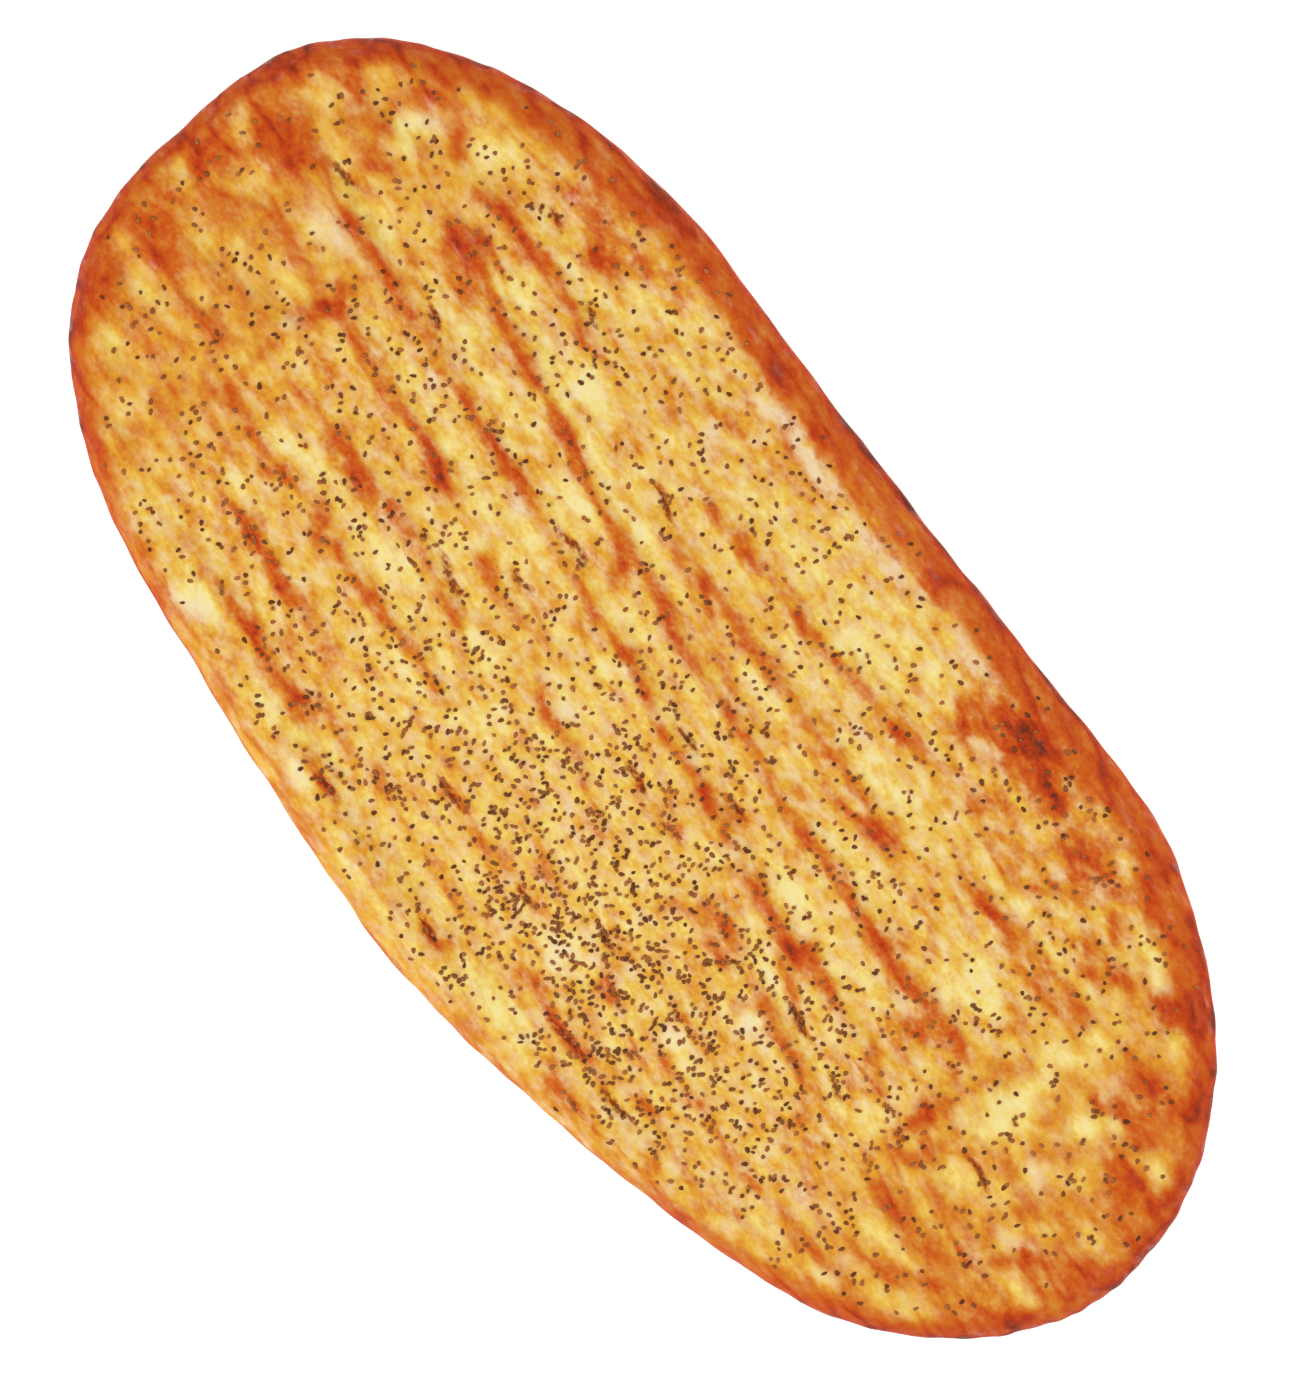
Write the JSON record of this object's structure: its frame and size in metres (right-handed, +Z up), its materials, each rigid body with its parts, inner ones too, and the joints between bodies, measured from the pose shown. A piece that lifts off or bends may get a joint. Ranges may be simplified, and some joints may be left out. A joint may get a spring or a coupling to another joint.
{
  "type": "barbari bread",
  "caption": "Long oval flatbread with a puffed rim, finger channels along its glossy golden top, fingertip dimples at its ends and nigella seeds, flat underneath.",
  "frame": {"origin": "centre of the loaf's bounding box at the level of its flat underside", "axes": "+X along the loaf, +Y across it towards the straighter side, +Z up out of the seeded top"},
  "size_m": [0.597, 0.28, 0.0253],
  "materials": {
    "crust": "baked crust, golden yellow to orange brown, satin from a flour glaze, floury and paler underneath"
  },
  "bodies": {
    "root": {"bread": "crust"}
  },
  "joints": []
}
